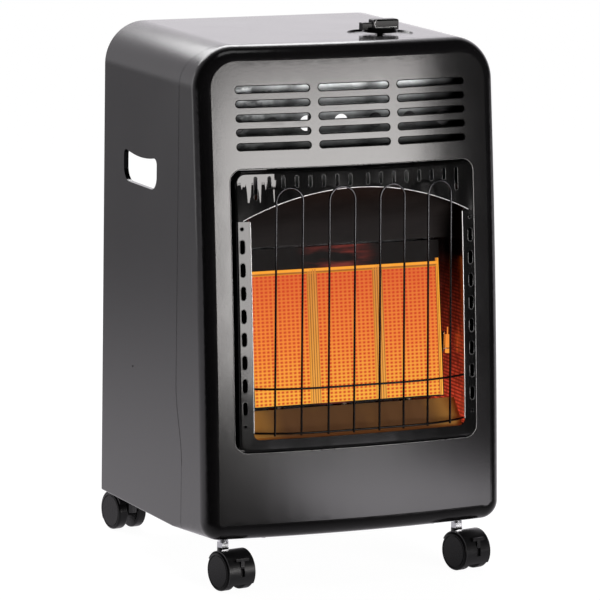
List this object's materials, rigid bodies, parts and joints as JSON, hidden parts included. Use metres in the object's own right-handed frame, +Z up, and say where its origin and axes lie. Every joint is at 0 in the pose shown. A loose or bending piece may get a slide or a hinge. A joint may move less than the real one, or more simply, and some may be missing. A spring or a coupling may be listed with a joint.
{
  "type": "portable propane heater",
  "caption": "Portable cabinet gas heater on castors, with infrared burners behind a wire guard, a top control knob and an open rear bay for the cylinder.",
  "frame": {"origin": "on the floor, at the bottom centre of the overall box", "axes": "+Z up; the burners and guard face -Y, the open cylinder bay faces +Y; +X is to the right of someone facing the front"},
  "size_m": [0.42, 0.4693, 0.714],
  "materials": {
    "cabinet_paint": "gloss powder coat",
    "trim_steel": "polished stainless steel",
    "header_enamel": "gloss enamel",
    "reflector_steel": "polished, heat tinted",
    "galvanised_steel": "galvanised",
    "ceramic": "porous ceramic",
    "brass": "machined",
    "black_plastic": "satin",
    "tube_aluminium": "drawn",
    "zinc": "zinc plated",
    "guard_wire": "nickel plated wire",
    "castor_plastic": "moulded",
    "wheel_plastic": "moulded"
  },
  "bodies": {
    "cabinet": {"cabinet_wrap": "cabinet_paint", "front_panel": "cabinet_paint", "base_plate": "cabinet_paint", "bay_divider": "galvanised_steel", "grille_shield": "galvanised_steel", "cylinder_strap": "galvanised_steel", "trim_frame": "trim_steel", "header": "header_enamel", "hood_reflector": "reflector_steel", "side_reflector_left": "reflector_steel", "side_reflector_right": "reflector_steel", "lower_tray": "reflector_steel", "burner_frame": "reflector_steel", "plenum_left": "galvanised_steel", "plenum_center": "galvanised_steel", "plenum_right": "galvanised_steel", "plaque_left": "ceramic", "plaque_center": "ceramic", "plaque_right": "ceramic", "injector_rail": "galvanised_steel", "injectors": "brass", "valve_bracket": "galvanised_steel", "control_valve": "brass", "inlet_fitting": "brass", "piezo_igniter": "black_plastic", "gas_tube_left": "tube_aluminium", "gas_tube_center": "tube_aluminium", "gas_tube_right": "tube_aluminium", "pilot_tube": "tube_aluminium", "pilot_burner": "zinc", "thermocouple": "brass", "spark_electrode": "ceramic", "tilt_switch": "black_plastic", "wire_guard": "guard_wire", "castor_stems": "zinc", "valve_spring": "zinc"},
    "knob_push": {"spring_seat": "zinc"},
    "knob": {"control_knob": "black_plastic", "valve_stem": "brass"},
    "castor_front_left": {"castor_front_left_hood": "castor_plastic", "castor_front_left_axle": "zinc"},
    "castor_front_left_wheel_a": {"castor_front_left_wheel_a": "wheel_plastic"},
    "castor_front_left_wheel_b": {"castor_front_left_wheel_b": "wheel_plastic"},
    "castor_front_left_brake": {"castor_front_left_brake": "castor_plastic"},
    "castor_front_right": {"castor_front_right_hood": "castor_plastic", "castor_front_right_axle": "zinc"},
    "castor_front_right_wheel_a": {"castor_front_right_wheel_a": "wheel_plastic"},
    "castor_front_right_wheel_b": {"castor_front_right_wheel_b": "wheel_plastic"},
    "castor_front_right_brake": {"castor_front_right_brake": "castor_plastic"},
    "castor_rear_left": {"castor_rear_left_hood": "castor_plastic", "castor_rear_left_axle": "zinc"},
    "castor_rear_left_wheel_a": {"castor_rear_left_wheel_a": "wheel_plastic"},
    "castor_rear_left_wheel_b": {"castor_rear_left_wheel_b": "wheel_plastic"},
    "castor_rear_right": {"castor_rear_right_hood": "castor_plastic", "castor_rear_right_axle": "zinc"},
    "castor_rear_right_wheel_a": {"castor_rear_right_wheel_a": "wheel_plastic"},
    "castor_rear_right_wheel_b": {"castor_rear_right_wheel_b": "wheel_plastic"}
  },
  "joints": [
    {"name": "knob_press", "type": "slide", "parent": "cabinet", "child": "knob_push", "axis": [0, 0, -1], "range_m": [0, 0.003], "stiffness_N_per_m": 800, "springref_m": -0.002, "deforming": ["valve_spring"]},
    {"name": "knob_turn", "type": "hinge", "parent": "knob_push", "child": "knob", "pos_m": [0.084, -0.07572, 0.696], "axis": [0, 0, 1], "range_deg": [0, 225]},
    {"name": "castor_front_left_swivel", "type": "hinge", "parent": "cabinet", "child": "castor_front_left", "pos_m": [-0.167, -0.16172, 0.04], "axis": [0, 0, 1], "continuous": true},
    {"name": "castor_front_left_wheel_a_roll", "type": "hinge", "parent": "castor_front_left", "child": "castor_front_left_wheel_a", "pos_m": [-0.16353, -0.18142, 0.025], "axis": [0.9848, 0.1736, 0], "continuous": true},
    {"name": "castor_front_left_wheel_b_roll", "type": "hinge", "parent": "castor_front_left", "child": "castor_front_left_wheel_b", "pos_m": [-0.16353, -0.18142, 0.025], "axis": [0.9848, 0.1736, 0], "continuous": true},
    {"name": "castor_front_left_brake_press", "type": "hinge", "parent": "castor_front_left", "child": "castor_front_left_brake", "pos_m": [-0.1596, -0.20367, 0.034], "axis": [0.9848, 0.1736, 0], "range_deg": [0, 12]},
    {"name": "castor_front_right_swivel", "type": "hinge", "parent": "cabinet", "child": "castor_front_right", "pos_m": [0.167, -0.16172, 0.04], "axis": [0, 0, 1], "continuous": true},
    {"name": "castor_front_right_wheel_a_roll", "type": "hinge", "parent": "castor_front_right", "child": "castor_front_right_wheel_a", "pos_m": [0.1715, -0.18121, 0.025], "axis": [0.9744, 0.225, 0], "continuous": true},
    {"name": "castor_front_right_wheel_b_roll", "type": "hinge", "parent": "castor_front_right", "child": "castor_front_right_wheel_b", "pos_m": [0.1715, -0.18121, 0.025], "axis": [0.9744, 0.225, 0], "continuous": true},
    {"name": "castor_front_right_brake_press", "type": "hinge", "parent": "castor_front_right", "child": "castor_front_right_brake", "pos_m": [0.17658, -0.20323, 0.034], "axis": [0.9744, 0.225, 0], "range_deg": [0, 12]},
    {"name": "castor_rear_left_swivel", "type": "hinge", "parent": "cabinet", "child": "castor_rear_left", "pos_m": [-0.15, 0.18528, 0.04], "axis": [0, 0, 1], "continuous": true},
    {"name": "castor_rear_left_wheel_a_roll", "type": "hinge", "parent": "castor_rear_left", "child": "castor_rear_left_wheel_a", "pos_m": [-0.15278, 0.20508, 0.025], "axis": [-0.9903, -0.1392, 0], "continuous": true},
    {"name": "castor_rear_left_wheel_b_roll", "type": "hinge", "parent": "castor_rear_left", "child": "castor_rear_left_wheel_b", "pos_m": [-0.15278, 0.20508, 0.025], "axis": [-0.9903, -0.1392, 0], "continuous": true},
    {"name": "castor_rear_right_swivel", "type": "hinge", "parent": "cabinet", "child": "castor_rear_right", "pos_m": [0.15, 0.18528, 0.04], "axis": [0, 0, 1], "continuous": true},
    {"name": "castor_rear_right_wheel_a_roll", "type": "hinge", "parent": "castor_rear_right", "child": "castor_rear_right_wheel_a", "pos_m": [0.14722, 0.20508, 0.025], "axis": [-0.9903, -0.1392, 0], "continuous": true},
    {"name": "castor_rear_right_wheel_b_roll", "type": "hinge", "parent": "castor_rear_right", "child": "castor_rear_right_wheel_b", "pos_m": [0.14722, 0.20508, 0.025], "axis": [-0.9903, -0.1392, 0], "continuous": true}
  ]
}
